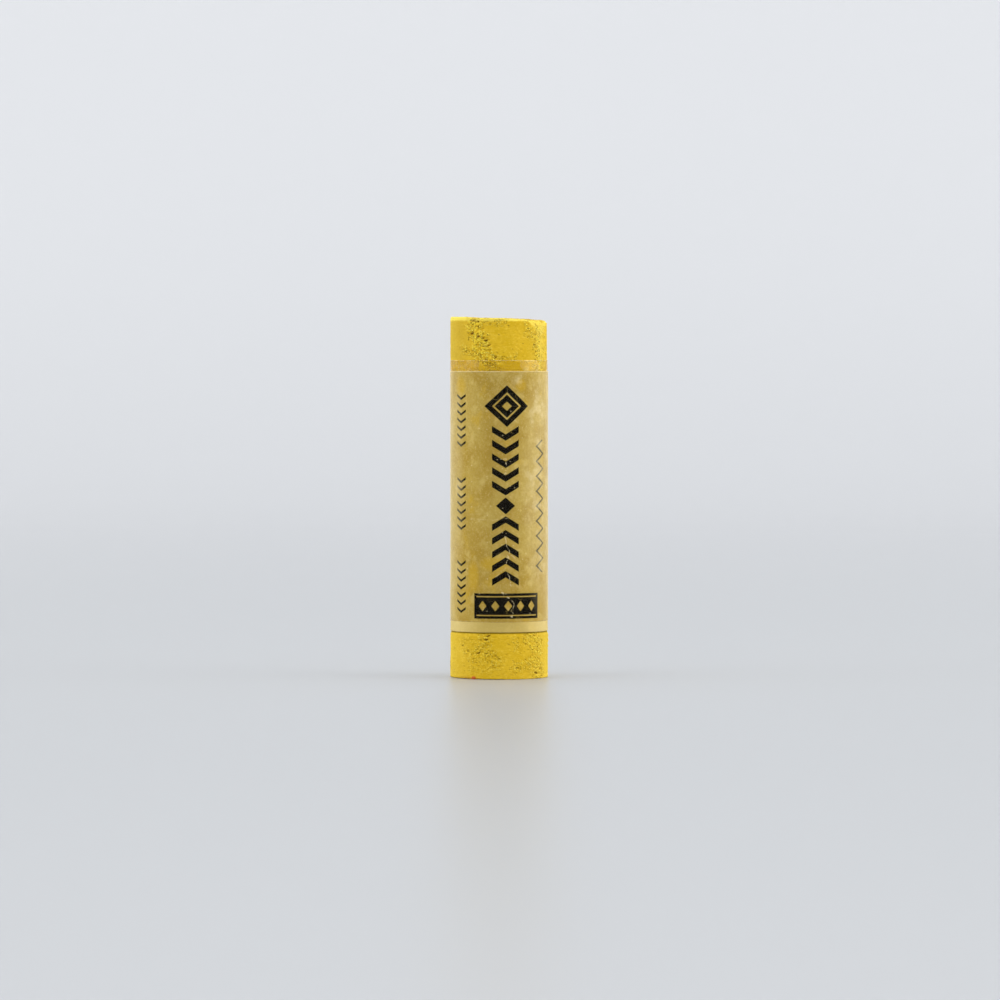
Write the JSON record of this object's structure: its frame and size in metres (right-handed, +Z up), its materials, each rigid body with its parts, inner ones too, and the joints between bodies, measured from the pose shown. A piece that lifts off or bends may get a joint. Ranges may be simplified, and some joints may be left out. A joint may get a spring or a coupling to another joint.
{
  "type": "soft pastel stick",
  "caption": "Short round stick of yellow soft pastel with bare, chipped ends, a printed paper label round its middle and a clear film over the label.",
  "frame": {"origin": "centre of the flat foot that the stick stands on", "axes": "+Z up along the stick's axis, from the foot to the leaning, chipped top; -Y is the printed front of the label, +X is the right, with the scraped side, and the overlaps of paper and film are at the back, +Y"},
  "size_m": [0.0152, 0.0153, 0.0558],
  "materials": {
    "pastel": "matte",
    "label_paper": "matte",
    "clear_film": "gloss"
  },
  "bodies": {
    "root": {"pastel_stick": "pastel", "paper_label": "label_paper", "clear_film": "clear_film"}
  },
  "joints": []
}
